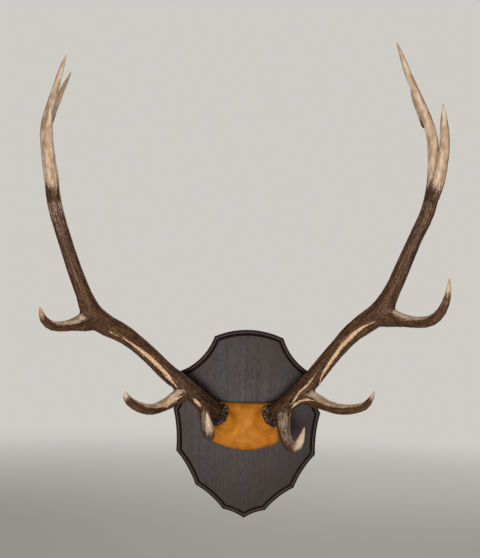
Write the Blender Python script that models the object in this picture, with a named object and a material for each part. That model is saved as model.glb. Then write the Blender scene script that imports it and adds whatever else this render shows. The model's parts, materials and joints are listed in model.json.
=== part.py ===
"""A pair of elk antlers on a walnut shield plaque, as it hangs on a wall.

The antlers grow from the two pedicles of a skull cap, which is covered in leather and screwed to
the plaque from behind. The origin is the middle of the plaque's flat back, which lies on the wall.
+Z is up, +X is to the viewer's right and -Y comes out of the wall towards the viewer.
"""

import math

import bmesh
import bpy
import numpy as np
from mathutils import Vector

# Driving dimensions, in metres. Stations of the antlers are listed in millimetres and scaled by MM.
MM = 0.001
GAP = 0.0003
BRANCH_GAP = 0.0005

PLAQUE_THICKNESS = 0.022
PLAQUE_TOP = 0.2285
PLAQUE_TOP_CORNER = (0.084, 0.210)
PLAQUE_EAR = (0.174, 0.119)
PLAQUE_SHOULDER = (0.179, 0.032)
PLAQUE_SIDE_CORNER = (0.169, -0.070)
PLAQUE_LOW_CORNER = (0.1195, -0.1515)
PLAQUE_FOOT_CORNER = (0.0515, -0.2085)
PLAQUE_TIP = (0.0, -0.229)
SWEEP_BOW = 0.015
EAR_BOW = 0.013
SIDE_BOW = 0.004
LOW_BOW = 0.0045
FOOT_BOW = 0.003
# The moulded edge, from the back to the face: inset from the outline, and height off the wall.
MOULDING = (
    (0.0015, 0.0),
    (0.0, 0.0015),
    (0.0, 0.0125),
    (0.0018, 0.0158),
    (0.0088, 0.0172),
    (0.0104, 0.0155),
    (0.0122, PLAQUE_THICKNESS),
)

SKULL_CENTRE_X = -0.003
SKULL_TOP = 0.052
SKULL_TOP_HALF_WIDTH = 0.073
SKULL_SIDE = -0.026
SKULL_SIDE_HALF_WIDTH = 0.082
SKULL_LOW = -0.045
SKULL_LOW_HALF_WIDTH = 0.068
SKULL_BOTTOM_BOW = 0.0145
# The skull cap's pillow shape: inset from its outline, and rise above the plaque.
PILLOW = (
    (0.0, 0.014),
    (0.003, 0.024),
    (0.010, 0.032),
    (0.022, 0.0375),
    (0.038, 0.0405),
)
PEDICLE_FOOT_RADIUS = 0.028
PEDICLE_RADIUS = 0.0205
PEDICLE_LENGTH = 0.046
PEDICLE_SIDES = 14
LEATHER = 0.0014

MOUNTING_SCREWS = {"top": (0.0, 0.030), "left": (-0.038, -0.020), "right": (0.032, -0.020)}
SCREW_SIDES = 8
MOUNTING_HEAD = (0.0046, 0.0018, 0.0046)
MOUNTING_SHANK_RADIUS = 0.0022
MOUNTING_SCREW_END = 0.048
SCREW_CLEARANCE = 0.0004
COUNTERBORE = (0.0062, 0.0050)

HANGER_HEIGHT = 0.150
HANGER_LENGTH = 0.058
HANGER_WIDTH = 0.011
HANGER_METAL = 0.0012
HANGER_BRIDGE = 0.036
HANGER_TEETH = 9
HANGER_TOOTH_DEPTH = 0.0022
HANGER_RECESS = (0.068, 0.022, 0.0040)
HANGER_HEAD_RADIUS = 0.0030
HANGER_HEAD_RISE = 0.0010
HANGER_SHANK_RADIUS = 0.0011
HANGER_SCREW_END = 0.0140

BEAM_SIDES = 20
TINE_SIDES = 12
BEAM_STEP = 0.026
TINE_STEP = 0.021
BEAM_FLUTE = 0.0007
TINE_FLUTE = 0.0004
TIP_POINT = 0.0012
# The burr, a coronet of knobs round the foot of the beam: distance along the beam, size against
# the beam there, and how far its knobs stand out.
BURR = (
    (0.0, 0.88, 0.0),
    (0.003, 1.13, 0.0010),
    (0.008, 1.26, 0.0028),
    (0.0125, 1.17, 0.0022),
    (0.018, 1.01, 0.0010),
)
# The ridge along the front of the beam between its second and third forks.
RIDGE_SIDE = 4
RIDGE_HEIGHT = 0.0024

# Stations along the middle of each branch, in mm: x, distance off the wall, z, width seen from the
# front, and thickness from front to back. A tine's first station lies inside the beam.
LEFT_BEAM = (
    (-66, 78, 24, 50, 50),
    (-88, 107, 43, 46, 48),
    (-114, 131, 69, 42, 46),
    (-148, 151, 99, 42, 43),
    (-187, 168, 129, 41, 40),
    (-222, 192, 165, 39, 38),
    (-257, 218, 197, 39, 37),
    (-288, 243, 221, 42, 37),
    (-325, 269, 240, 48, 36),
    (-352, 293, 263, 50, 36),
    (-366, 315, 298, 37, 35),
    (-388, 340, 358, 32, 33),
    (-411, 358, 428, 30, 31),
    (-432, 370, 499, 31, 33),
    (-442, 376, 560, 29, 34),
    (-452, 377, 617, 25, 28),
    (-457, 372, 667, 23, 24),
    (-450, 365, 706, 21, 20),
    (-438, 353, 764, 14, 14),
    (-431, 346, 796, 11, 11),
    (-422, 338, 829, 3, 3),
)
LEFT_BROW = (
    (-96, 114, 48, 36, 32),
    (-98, 140, 31, 29, 27),
    (-95, 175, 12, 27, 24),
    (-90, 214, -2, 26, 24),
    (-85, 252, -3, 25, 23),
    (-84, 288, 14, 20, 19),
    (-87, 316, 38, 14, 14),
    (-91, 335, 57, 3, 3),
)
LEFT_BEZ = (
    (-150, 162, 83, 40, 34),
    (-170, 176, 69, 32, 29),
    (-192, 200, 57, 27, 26),
    (-216, 243, 51, 25, 25),
    (-235, 283, 57, 24, 23),
    (-253, 319, 69, 21, 20),
    (-265, 345, 83, 17, 17),
    (-268, 366, 100, 3, 3),
)
LEFT_TREZ = (
    (-352, 292, 254, 58, 34),
    (-371, 311, 245, 42, 30),
    (-390, 338, 240, 27, 26),
    (-408, 370, 237, 23, 24),
    (-427, 404, 240, 20, 21),
    (-439, 436, 254, 16, 17),
    (-443, 469, 280, 3, 3),
)
LEFT_DAGGER = (
    (-435, 378, 520, 36, 28),
    (-434, 405, 552, 27, 27),
    (-435, 440, 589, 24, 24),
    (-435, 476, 625, 21, 21),
    (-430, 510, 658, 16, 16),
    (-424, 539, 689, 3, 3),
)
LEFT_FIFTH = (
    (-452, 366, 676, 22, 18),
    (-444, 346, 708, 17, 15),
    (-437, 324, 737, 13, 13),
    (-429, 303, 767, 10, 10),
    (-418, 281, 801, 3, 3),
)
RIGHT_BEAM = (
    (57, 78, 25, 50, 50),
    (80, 107, 45, 46, 48),
    (103, 131, 71, 43, 46),
    (127, 151, 99, 43, 43),
    (151, 168, 129, 42, 40),
    (177, 192, 167, 40, 38),
    (205, 218, 206, 40, 37),
    (228, 243, 236, 43, 37),
    (257, 269, 262, 48, 36),
    (286, 293, 287, 51, 36),
    (305, 315, 326, 38, 35),
    (328, 340, 388, 33, 33),
    (350, 358, 449, 30, 31),
    (375, 370, 512, 31, 33),
    (384, 376, 568, 29, 34),
    (383, 377, 618, 25, 28),
    (378, 373, 674, 23, 24),
    (365, 368, 714, 22, 20),
    (340, 358, 774, 17, 16),
    (326, 350, 808, 15, 14),
    (314, 343, 842, 11, 11),
    (300, 335, 880, 3, 3),
)
RIGHT_BROW = (
    (83, 112, 48, 40, 35),
    (84, 134, 30, 36, 33),
    (86, 168, 8, 32, 29),
    (91, 208, -12, 28, 25),
    (100, 250, -24, 25, 23),
    (111, 290, -17, 20, 20),
    (119, 320, 5, 15, 15),
    (124, 344, 32, 3, 3),
)
RIGHT_BEZ = (
    (128, 158, 88, 44, 36),
    (150, 172, 79, 37, 32),
    (174, 198, 71, 28, 27),
    (198, 236, 66, 26, 25),
    (217, 272, 67, 24, 23),
    (237, 307, 73, 21, 20),
    (256, 340, 84, 17, 17),
    (265, 360, 99, 12, 12),
    (271, 378, 119, 3, 3),
)
RIGHT_TREZ = (
    (288, 292, 283, 60, 34),
    (313, 309, 276, 42, 30),
    (335, 331, 272, 29, 27),
    (360, 362, 270, 26, 25),
    (384, 398, 275, 24, 23),
    (401, 431, 295, 20, 20),
    (409, 458, 326, 15, 15),
    (408, 484, 366, 3, 3),
)
RIGHT_DAGGER = (
    (383, 380, 540, 36, 28),
    (391, 408, 577, 28, 27),
    (393, 440, 613, 24, 24),
    (391, 472, 647, 21, 21),
    (384, 505, 681, 17, 17),
    (375, 540, 720, 3, 3),
)
RIGHT_FIFTH = (
    (365, 364, 697, 22, 18),
    (354, 346, 729, 17, 15),
    (345, 326, 757, 13, 13),
    (338, 305, 783, 3, 3),
)
ANTLERS = {
    "left": (LEFT_BEAM, LEFT_BROW, LEFT_BEZ, LEFT_TREZ, LEFT_DAGGER, LEFT_FIFTH),
    "right": (RIGHT_BEAM, RIGHT_BROW, RIGHT_BEZ, RIGHT_TREZ, RIGHT_DAGGER, RIGHT_FIFTH),
}
TINES = ("brow", "bez", "trez", "dagger", "fifth")
OUTWARD = {"left": -1, "right": 1}

OUT_OF_WALL = Vector((0, -1, 0))


def clear_scene():
    for thing in list(bpy.data.objects):
        bpy.data.objects.remove(thing, do_unlink=True)


def make_material(name, colour, roughness, metallic=0.0):
    material = bpy.data.materials.new(name)
    material.use_nodes = True
    shader = material.node_tree.nodes["Principled BSDF"]
    shader.inputs["Base Color"].default_value = (*colour, 1)
    shader.inputs["Roughness"].default_value = roughness
    shader.inputs["Metallic"].default_value = metallic
    return material


def add_solid(name, rings, material=None):
    """A closed solid through rings of points. A ring of one point closes that end in a peak."""
    shape = bmesh.new()
    rows = [[shape.verts.new(point) for point in ring] for ring in rings]
    for row, following in zip(rows, rows[1:]):
        count = max(len(row), len(following))
        for i in range(count):
            j = (i + 1) % count
            if len(row) > 1:
                shape.faces.new((row[i], row[j], following[i % len(following)]))
            if len(following) > 1:
                shape.faces.new((row[j % len(row)], following[j], following[i]))
    for row in (rows[0], rows[-1]):
        if len(row) > 1:
            shape.faces.new(row)
    bmesh.ops.recalc_face_normals(shape, faces=shape.faces)
    mesh = bpy.data.meshes.new(name)
    shape.to_mesh(mesh)
    shape.free()
    solid = bpy.data.objects.new(name, mesh)
    bpy.context.collection.objects.link(solid)
    if material:
        mesh.materials.append(material)
    mesh.shade_smooth()
    mesh.set_sharp_from_angle(angle=math.radians(38))
    return solid


def as_tool(solid):
    """Marks a solid as a cutter or a guide, which the render and the build leave out."""
    solid.hide_render = True
    solid.display_type = "WIRE"
    return solid


def combine(solid, tool, operation):
    step = solid.modifiers.new(tool.name, "BOOLEAN")
    step.operation = operation
    step.object = tool


def arc(start, end, bow, count):
    """Points from start up to, but without, end, along an arc that bows to the left of the way."""
    start = Vector(start)
    end = Vector(end)
    way = end - start
    left = Vector((-way.y, way.x)).normalized()
    half = way.length / 2
    if abs(bow) < MM / 10:
        return [start.lerp(end, i / count) for i in range(count)]
    radius = (half**2 + bow**2) / (2 * bow)
    centre = start.lerp(end, 0.5) + left * (bow - radius)
    turn = 2 * math.atan2(half, radius - bow) if bow > 0 else -2 * math.atan2(half, bow - radius)
    spoke = start - centre
    points = []
    for i in range(count):
        angle = -turn * i / count
        cos, sin = math.cos(angle), math.sin(angle)
        points.append(centre + Vector((spoke.x * cos - spoke.y * sin, spoke.x * sin + spoke.y * cos)))
    return points


def mirrored(half):
    """A whole outline from its right half, which starts and ends on the middle line."""
    return half + [Vector((-point.x, point.y)) for point in reversed(half[1:-1])]


def inset(outline, distance):
    """The outline moved inwards, each corner along its mitre. The outline runs clockwise."""
    moved = []
    for i, point in enumerate(outline):
        back = (point - outline[i - 1]).normalized()
        on = (outline[(i + 1) % len(outline)] - point).normalized()
        mitre = (back.orthogonal() + on.orthogonal()).normalized()
        moved.append(point - mitre * distance / max(mitre.dot(on.orthogonal()), 0.5))
    return moved


def upright(outline, off_wall):
    return [(point.x, -off_wall, point.y) for point in outline]


def plaque_outline():
    half = arc((0, PLAQUE_TOP), PLAQUE_TOP_CORNER, 0.0046, 4)
    half += arc(PLAQUE_TOP_CORNER, PLAQUE_EAR, -SWEEP_BOW, 7)
    half += arc(PLAQUE_EAR, PLAQUE_SHOULDER, -EAR_BOW, 5)
    half += arc(PLAQUE_SHOULDER, PLAQUE_SIDE_CORNER, -SIDE_BOW, 4)
    half += arc(PLAQUE_SIDE_CORNER, PLAQUE_LOW_CORNER, -LOW_BOW, 4)
    half += arc(PLAQUE_LOW_CORNER, PLAQUE_FOOT_CORNER, -LOW_BOW, 4)
    half += arc(PLAQUE_FOOT_CORNER, PLAQUE_TIP, -FOOT_BOW, 3)
    return mirrored(half + [Vector(PLAQUE_TIP)])


def turned(profile, centre, sides=SCREW_SIDES):
    """Rings round a line out of the wall at centre, one for each radius and height off the wall."""
    rings = []
    for radius, off_wall in profile:
        angles = [math.tau * i / sides for i in range(sides)]
        rings.append(
            [
                (centre[0] + radius * math.cos(a), -off_wall, centre[1] + radius * math.sin(a))
                for a in angles
            ]
        )
    return rings


def box(name, centre, size):
    """A block given by the middle and the size of its three sides."""
    x, y, z = (value / 2 for value in size)
    ring = [(-x, -z), (x, -z), (x, z), (-x, z)]
    rings = []
    for side in (-y, y):
        rings.append([(centre[0] + a, centre[1] + side, centre[2] + b) for a, b in ring])
    return add_solid(name, rings)


def add_plaque(material):
    outline = plaque_outline()
    rings = [upright(inset(outline, distance), off_wall) for distance, off_wall in MOULDING]
    plaque = add_solid("plaque", rings, material)
    depth = HANGER_RECESS[2]
    recess_size = (HANGER_RECESS[0], 2 * depth, HANGER_RECESS[1])
    recess = as_tool(box("hanger_recess", (0, 0, HANGER_HEIGHT), recess_size))
    combine(plaque, recess, "DIFFERENCE")
    bore = MOUNTING_SHANK_RADIUS + SCREW_CLEARANCE
    for side, place in MOUNTING_SCREWS.items():
        profile = (
            (COUNTERBORE[0], -MM),
            (COUNTERBORE[0], COUNTERBORE[1]),
            (bore, COUNTERBORE[1]),
            (bore, PLAQUE_THICKNESS + MM),
        )
        hole = as_tool(add_solid("plaque_bore_" + side, turned(profile, place)))
        combine(plaque, hole, "DIFFERENCE")
    for sign, side in ((-1, "left"), (1, "right")):
        radius = HANGER_SHANK_RADIUS + GAP
        profile = ((radius, depth - MM), (radius, HANGER_SCREW_END + GAP))
        place = (sign * hanger_screw_x(), HANGER_HEIGHT)
        pilot = as_tool(add_solid("plaque_pilot_" + side, turned(profile, place)))
        combine(plaque, pilot, "DIFFERENCE")


def hanger_screw_x():
    return (HANGER_LENGTH + HANGER_BRIDGE) / 4


def add_hanger(steel, screw_steel):
    """A sawtooth hanger: a steel strip bridged clear of the recess, with teeth under the bridge."""
    floor = HANGER_RECESS[2] - GAP
    rise = floor - 2 * HANGER_METAL
    end, bridge = HANGER_LENGTH / 2, HANGER_BRIDGE / 2
    slope = MM * 1.5
    lower = [(-end, floor), (-bridge - slope, floor), (-bridge, rise + HANGER_METAL)]
    lower += [(-x, y) for x, y in reversed(lower)]
    upper = [(x, y - HANGER_METAL) for x, y in reversed(lower)]
    rings = []
    for z in (-HANGER_WIDTH / 2, HANGER_WIDTH / 2):
        rings.append([(x, -y, HANGER_HEIGHT + z) for x, y in lower + upper])
    hanger = add_solid("sawtooth_hanger", rings, steel)

    pitch = (HANGER_BRIDGE - 4 * MM) / HANGER_TEETH
    base = HANGER_HEIGHT - HANGER_WIDTH / 2
    comb = [(-pitch * HANGER_TEETH / 2, base - MM)]
    for i in range(HANGER_TEETH):
        x = pitch * (i - HANGER_TEETH / 2)
        comb += [(x + pitch * 0.04, base), (x + pitch / 2, base + HANGER_TOOTH_DEPTH)]
        comb.append((x + pitch * 0.96, base))
    comb.append((pitch * HANGER_TEETH / 2, base - MM))
    rings = [[(x, -y, z) for x, z in comb] for y in (-MM, HANGER_RECESS[2])]
    teeth = as_tool(add_solid("hanger_teeth", rings))
    combine(hanger, teeth, "DIFFERENCE")

    for sign, side in ((-1, "left"), (1, "right")):
        place = (sign * hanger_screw_x(), HANGER_HEIGHT)
        radius = HANGER_SHANK_RADIUS + GAP
        profile = ((radius, -MM), (radius, HANGER_RECESS[2] + MM))
        hole = as_tool(add_solid("hanger_hole_" + side, turned(profile, place)))
        combine(hanger, hole, "DIFFERENCE")
        seat = floor - HANGER_METAL - GAP
        profile = (
            (HANGER_HEAD_RADIUS * 0.6, seat - HANGER_HEAD_RISE),
            (HANGER_HEAD_RADIUS, seat - HANGER_HEAD_RISE * 0.3),
            (HANGER_HEAD_RADIUS, seat),
            (HANGER_SHANK_RADIUS, seat),
            (HANGER_SHANK_RADIUS, HANGER_SCREW_END - 2 * MM),
            (HANGER_SHANK_RADIUS * 0.2, HANGER_SCREW_END),
        )
        add_solid("hanger_screw_" + side, turned(profile, place), screw_steel)


def add_mounting_screws(material):
    radius, top, seat = MOUNTING_HEAD
    for side, place in MOUNTING_SCREWS.items():
        profile = (
            (radius * 0.75, top),
            (radius, top + 0.0008),
            (radius, seat),
            (MOUNTING_SHANK_RADIUS, seat),
            (MOUNTING_SHANK_RADIUS, MOUNTING_SCREW_END - 6 * MM),
            (MOUNTING_SHANK_RADIUS * 0.15, MOUNTING_SCREW_END),
        )
        add_solid("mounting_screw_" + side, turned(profile, place), material)


def skull_outline():
    """The outline of the skull cap: straight on top, rounded below, widest low down."""
    top = (SKULL_TOP_HALF_WIDTH - 0.016, SKULL_TOP)
    top_side = (SKULL_TOP_HALF_WIDTH, SKULL_TOP - 0.016)
    side = (SKULL_SIDE_HALF_WIDTH, SKULL_SIDE)
    low = (SKULL_LOW_HALF_WIDTH, SKULL_LOW)
    half = arc((0, SKULL_TOP), top, 0.0006, 1)
    half += arc(top, top_side, 0.0062, 2)
    half += arc(top_side, side, 0.0016, 2)
    half += arc(side, low, 0.0050, 3)
    half += arc(low, (0, SKULL_LOW - SKULL_BOTTOM_BOW), 0.0036, 3)
    whole = mirrored(half + [Vector((0, SKULL_LOW - SKULL_BOTTOM_BOW))])
    return [point + Vector((SKULL_CENTRE_X, 0)) for point in whole]


def shrunk(outline, distance):
    """The outline scaled about its middle, so that each of its sides comes in by distance."""
    low = Vector((min(p.x for p in outline), min(p.y for p in outline)))
    high = Vector((max(p.x for p in outline), max(p.y for p in outline)))
    middle = (low + high) / 2
    scale = Vector([1 - 2 * distance / size for size in high - low])
    return [middle + (point - middle) * scale for point in outline]


def pillow_rings(grow, start):
    """The rings of the skull cap's rounded form, thickened by grow, from start off the wall."""
    outline = skull_outline()
    rings = [upright(inset(outline, -grow), start)]
    for distance, rise in PILLOW:
        off_wall = PLAQUE_THICKNESS + GAP + rise + grow
        rings.append(upright(inset(shrunk(outline, distance), -grow), off_wall))
    return rings


def burr_seat(side):
    """Where the foot of the beam meets its pedicle, and the way the beam leaves it."""
    first, second = (Vector((s[0], -s[1], s[2])) * MM for s in ANTLERS[side][0][:2])
    return first, (second - first).normalized()


def pedicle_rings(side, grow, top_gap):
    """The round stub that carries an antler, thickened by grow and ending top_gap below it."""
    seat, way = burr_seat(side)
    across = way.cross(OUT_OF_WALL).normalized()
    other = way.cross(across)
    rings = []
    for distance, radius in (
        (-PEDICLE_LENGTH, PEDICLE_FOOT_RADIUS),
        (-0.35 * PEDICLE_LENGTH, 0.45 * PEDICLE_FOOT_RADIUS + 0.55 * PEDICLE_RADIUS),
        (-top_gap, PEDICLE_RADIUS),
    ):
        ring = []
        for i in range(PEDICLE_SIDES):
            angle = math.tau * i / PEDICLE_SIDES
            spoke = across * math.cos(angle) + other * math.sin(angle)
            ring.append(seat + way * distance + spoke * (radius + grow))
        rings.append(ring)
    return rings


def add_skull_cap(material):
    start = PLAQUE_THICKNESS + GAP
    skull = add_solid("skull_cap", pillow_rings(0, start), material)
    for side in ANTLERS:
        pedicle = as_tool(add_solid("pedicle_" + side, pedicle_rings(side, 0, GAP)))
        combine(skull, pedicle, "UNION")
    for side, place in MOUNTING_SCREWS.items():
        radius = MOUNTING_SHANK_RADIUS + SCREW_CLEARANCE
        profile = ((radius, start - MM), (radius, MOUNTING_SCREW_END + GAP))
        hole = as_tool(add_solid("skull_bore_" + side, turned(profile, place)))
        combine(skull, hole, "DIFFERENCE")


def add_leather_cover(material):
    """The leather stretched over the skull cap and up each pedicle, open at the back and there."""
    start = PLAQUE_THICKNESS + GAP
    cover = add_solid("leather_cover", pillow_rings(GAP + LEATHER, start), material)
    for side in ANTLERS:
        sleeve = add_solid("sleeve_" + side, pedicle_rings(side, GAP + LEATHER, GAP))
        combine(cover, as_tool(sleeve), "UNION")
    hollow = add_solid("cover_hollow", pillow_rings(GAP, start - 2 * MM))
    combine(cover, as_tool(hollow), "DIFFERENCE")
    for side in ANTLERS:
        bore = add_solid("sleeve_bore_" + side, pedicle_rings(side, GAP, -2 * MM))
        combine(cover, as_tool(bore), "DIFFERENCE")


def smooth_stations(stations, places_first, step):
    """Stations read off a smooth curve through the given ones: at places_first, then every step.

    Each is its distance along the branch and its five values in metres.
    """
    rows = np.array([(s[0], -s[1], s[2], s[3], s[4]) for s in stations]) * MM
    chords = np.linalg.norm(np.diff(rows[:, :3], axis=0), axis=1)
    marks = np.concatenate([[0.0], np.cumsum(chords)])
    slopes = np.gradient(rows, marks, axis=0)
    start = places_first[-1] if places_first else 0.0
    count = round((marks[-1] - start) / step)
    places = list(places_first[:-1]) + list(np.linspace(start, marks[-1], count + 1))
    result = []
    for place in places:
        i = min(int(np.searchsorted(marks, place, side="right")) - 1, len(chords) - 1)
        span = chords[i]
        t = (place - marks[i]) / span
        row = rows[i] * (2 * t**3 - 3 * t**2 + 1) + rows[i + 1] * (3 * t**2 - 2 * t**3)
        row += slopes[i] * span * (t**3 - 2 * t**2 + t) + slopes[i + 1] * span * (t**3 - t**2)
        result.append((place, row))
    return result


def knob(i, seed):
    """An uneven size between 0.5 and 1 for knob number i."""
    return 0.75 + 0.25 * math.sin(2.3 * i + 1.7 * seed)


def beam_radius_extra(i, place, total):
    """How far side i of the beam stands out, from its grooves, its burr and its front ridge."""
    groove = BEAM_FLUTE if i % 2 else -BEAM_FLUTE
    extra = groove * knob(i, place * 9) * min(1, (total - place) / 0.15)
    if i in (RIDGE_SIDE - 1, RIDGE_SIDE):
        middle, reach = 0.30 * total, 0.14 * total
        fade = max(0.0, 1 - ((place - middle) / reach) ** 2)
        extra += RIDGE_HEIGHT * fade * (1 if i == RIDGE_SIDE else 0.4)
    return extra


def beam_rings(side, grow):
    """The rings of a main beam, its sides counted from the outer edge round the front."""
    rows = smooth_stations(ANTLERS[side][0], [row[0] for row in BURR], BEAM_STEP)
    total = rows[-1][0]
    points = [Vector(row[:3]) for _, row in rows]
    rings = []
    for n, (place, row) in enumerate(rows):
        way = (points[min(n + 1, len(rows) - 1)] - points[max(n - 1, 0)]).normalized()
        if n < len(BURR):
            way = burr_seat(side)[1]
        outer = way.cross(OUT_OF_WALL).normalized() * OUTWARD[side]
        if outer.x * OUTWARD[side] < 0:
            outer.negate()
        front = way.cross(outer)
        if front.dot(OUT_OF_WALL) < 0:
            front.negate()
        swell, knobs = (BURR[n][1], BURR[n][2]) if n < len(BURR) else (1.0, 0.0)
        ring = []
        for i in range(BEAM_SIDES):
            angle = math.tau * i / BEAM_SIDES
            spoke = outer * (math.cos(angle) * row[3] / 2) + front * (math.sin(angle) * row[4] / 2)
            extra = beam_radius_extra(i, place, total)
            if knobs:
                extra = knobs * knob(i, n) * (1 if i % 2 else -1)
            length = spoke.length * swell + extra + grow
            ring.append(points[n] + spoke.normalized() * length)
        rings.append(ring)
    rings.append([points[-1] + way * TIP_POINT])
    return rings


def tine_rings(stations, root_way):
    """The rings of a tine. Its width starts along root_way, the way of the beam it grows from."""
    rows = smooth_stations(stations, [], TINE_STEP)
    points = [Vector(row[:3]) for _, row in rows]
    across = root_way.copy()
    rings = []
    for n, (place, row) in enumerate(rows):
        way = (points[min(n + 1, len(rows) - 1)] - points[max(n - 1, 0)]).normalized()
        across = (across - way * across.dot(way)).normalized()
        other = way.cross(across)
        ring = []
        for i in range(TINE_SIDES):
            angle = math.tau * i / TINE_SIDES
            spoke = across * (math.cos(angle) * row[3] / 2) + other * (math.sin(angle) * row[4] / 2)
            groove = (TINE_FLUTE if i % 2 else -TINE_FLUTE) * min(1, (rows[-1][0] - place) / 0.06)
            ring.append(points[n] + spoke.normalized() * (spoke.length + groove))
        rings.append(ring)
    rings.append([points[-1] + way * TIP_POINT])
    return rings


def way_of_beam(side, point):
    """The way that the beam runs where it is nearest to point."""
    stations = [Vector((s[0], -s[1], s[2])) * MM for s in ANTLERS[side][0]]
    spans = list(zip(stations, stations[1:]))
    first, second = min(spans, key=lambda span: (span[0].lerp(span[1], 0.5) - point).length)
    return (second - first).normalized()


def add_antler(side, material_of):
    beam = add_solid(side + "_main_beam", beam_rings(side, 0), material_of["beam"])
    room = as_tool(add_solid(side + "_beam_room", beam_rings(side, BRANCH_GAP)))
    for name, stations in zip(TINES, ANTLERS[side][1:]):
        root = Vector((stations[0][0], -stations[0][1], stations[0][2])) * MM
        rings = tine_rings(stations, way_of_beam(side, root))
        tine = add_solid(side + "_" + name + "_tine", rings, material_of["tine"])
        combine(tine, room, "DIFFERENCE")
    return beam


def build():
    clear_scene()
    walnut = make_material("walnut", (0.075, 0.042, 0.034), 0.35)
    bone = make_material("skull bone", (0.62, 0.55, 0.42), 0.7)
    buckskin = make_material("buckskin leather", (0.50, 0.26, 0.045), 0.6)
    zinc_steel = make_material("zinc plated steel", (0.55, 0.55, 0.52), 0.35, 1.0)
    screw_steel = make_material("screw steel", (0.42, 0.40, 0.36), 0.4, 1.0)
    antler_of = {
        "beam": make_material("beam antler", (0.155, 0.092, 0.050), 0.5),
        "tine": make_material("tine antler", (0.26, 0.175, 0.105), 0.45),
    }
    add_plaque(walnut)
    add_hanger(zinc_steel, screw_steel)
    add_mounting_screws(screw_steel)
    add_skull_cap(bone)
    add_leather_cover(buckskin)
    for side in ANTLERS:
        add_antler(side, antler_of)


build()
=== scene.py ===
import json
import math

import bpy
import numpy as np
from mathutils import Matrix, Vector, noise

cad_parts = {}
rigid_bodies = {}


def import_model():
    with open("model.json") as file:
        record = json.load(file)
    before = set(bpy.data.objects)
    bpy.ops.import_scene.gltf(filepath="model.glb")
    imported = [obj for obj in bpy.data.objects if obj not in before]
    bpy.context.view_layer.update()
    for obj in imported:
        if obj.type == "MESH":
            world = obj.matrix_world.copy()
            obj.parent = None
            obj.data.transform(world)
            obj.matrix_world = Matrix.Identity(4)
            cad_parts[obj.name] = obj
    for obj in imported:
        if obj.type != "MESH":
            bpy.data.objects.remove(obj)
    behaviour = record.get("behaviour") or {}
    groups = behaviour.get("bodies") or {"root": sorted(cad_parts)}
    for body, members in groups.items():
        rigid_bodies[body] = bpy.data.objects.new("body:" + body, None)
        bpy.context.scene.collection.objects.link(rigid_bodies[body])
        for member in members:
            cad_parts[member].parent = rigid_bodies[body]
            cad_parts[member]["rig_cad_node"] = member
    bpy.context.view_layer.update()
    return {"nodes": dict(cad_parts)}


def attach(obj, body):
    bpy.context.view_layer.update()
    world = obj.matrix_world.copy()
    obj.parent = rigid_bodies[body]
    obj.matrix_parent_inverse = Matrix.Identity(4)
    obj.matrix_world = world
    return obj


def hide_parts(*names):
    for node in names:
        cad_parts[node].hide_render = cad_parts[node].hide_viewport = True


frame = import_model()

# The camera stands 3.2 m in front of the wall, level and a little left of the plaque, as the
# photograph was taken, with the same small roll. The long side of its frame is 558 pixels.
FRAME_HEIGHT_PX = 558
FOCAL_LENGTH_PX = 1318.5
CAMERA_PLACE = (-0.0268, -3.222, 0.3517)
CAMERA_ROLL = math.radians(1.8)

camera_data = bpy.data.cameras.new("camera")
camera_data.lens = camera_data.sensor_width * FOCAL_LENGTH_PX / FRAME_HEIGHT_PX
camera = bpy.data.objects.new("camera", camera_data)
camera.location = CAMERA_PLACE
camera.rotation_euler = (math.radians(90), -CAMERA_ROLL, 0)
bpy.context.scene.collection.objects.link(camera)
bpy.context.scene.camera = camera

# The plaque is a walnut shield, glued up from upright boards, with a bead routed round its edge.
# It is stained dark and finished with a satin varnish; the quirk beside the bead and the plain edge are
# painted darker still, as shade.
CORNERS = {
    "top": (0.0, 0.2285),
    "top_corner": (0.084, 0.210),
    "ear": (0.174, 0.119),
    "shoulder": (0.179, 0.032),
    "side": (0.169, -0.070),
    "low": (0.1195, -0.1515),
    "foot": (0.0515, -0.2085),
    "tip": (0.0, -0.229),
}
# The arcs between the corners: how far each bows out, and the pieces that it is drawn with.
ARCS = (
    ("top", "top_corner", 0.0046, 10),
    ("top_corner", "ear", -0.015, 16),
    ("ear", "shoulder", -0.013, 12),
    ("shoulder", "side", -0.004, 10),
    ("side", "low", -0.0045, 9),
    ("low", "foot", -0.0045, 9),
    ("foot", "tip", -0.003, 6),
)
# The moulding's profile in mm, from the plain edge to the face: distance in from the edge, and
# height off the wall. The bead comes first, then the quirk, then the step up to the face.
MOULDING_MM = (
    (0.0, 12.5),
    (0.3, 13.9),
    (1.0, 15.2),
    (2.2, 16.2),
    (3.8, 16.9),
    (5.6, 17.1),
    (7.4, 16.9),
    (8.8, 16.2),
    (9.6, 15.2),
    (10.3, 14.6),
    (11.1, 14.4),
    (11.6, 14.7),
    (12.0, 16.0),
    (12.3, 18.2),
    (12.6, 20.0),
    (13.0, 21.3),
    (13.6, 21.9),
    (14.4, 22.0),
)
EAR_SIDE = 0.0175
OUTLINE_RADIUS = 0.2
BACK_CHAMFER = 0.0015
MOULDING_SMOOTH_ANGLE = math.radians(32)
RECESS_SIZE = (0.068, 0.008, 0.022)
HANGER_HEIGHT = 0.150
COUNTERBORE_RADIUS = 0.0062
COUNTERBORE_DEPTH = 0.0050
SCREW_HOLE_RADIUS = 0.0026
SCREW_HOLE_CUT = 0.06
MOUNTING_SCREWS = {"top": (0.0, 0.030), "left": (-0.038, -0.020), "right": (0.032, -0.020)}


def deselect():
    for thing in bpy.context.selected_objects:
        thing.select_set(False)


def take_up(piece):
    """Makes a piece the only one that is selected, and the active one."""
    deselect()
    piece.select_set(True)
    bpy.context.view_layer.objects.active = piece


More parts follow.
